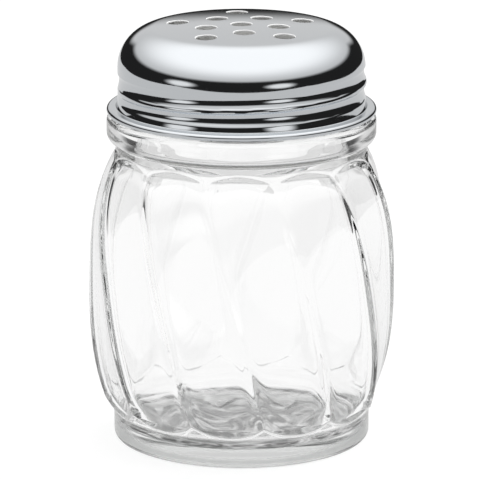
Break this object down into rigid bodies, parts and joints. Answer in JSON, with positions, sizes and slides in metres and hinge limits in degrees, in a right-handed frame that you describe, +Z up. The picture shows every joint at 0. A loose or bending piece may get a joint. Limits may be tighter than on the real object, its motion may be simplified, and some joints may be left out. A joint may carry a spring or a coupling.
{
  "type": "swirl glass spice shaker",
  "caption": "Clear glass shaker jar with swirling hollow flutes and a domed, perforated, chrome-plated screw lid that lifts as it unscrews.",
  "frame": {"origin": "on the jar's axis, level with the ring that the jar stands on", "axes": "+Z up along the jar's axis, -Y towards the viewer, +X to the viewer's right"},
  "size_m": [0.0796, 0.0796, 0.1096],
  "materials": {
    "clear_glass": "fire-polished pressed soda-lime glass",
    "plated_steel": "bright nickel-chrome plate on stamped steel sheet"
  },
  "bodies": {
    "jar": {"glass_jar": "clear_glass"},
    "brim": {"lid_brim": "plated_steel"},
    "lid": {"lid_cap": "plated_steel"}
  },
  "joints": [
    {"name": "lid_rise", "type": "slide", "parent": "jar", "child": "brim", "axis": [0, 0, 1], "range_m": [0, 0.01411]},
    {"name": "lid_turn", "type": "hinge", "parent": "brim", "child": "lid", "pos_m": [0, 0, 0.0893], "axis": [0, 0, 1], "range_deg": [0, 1080]}
  ],
  "couplings": [
    {"joint": "lid_rise", "follows": "lid_turn", "m_per_rad": 0.00074803}
  ]
}
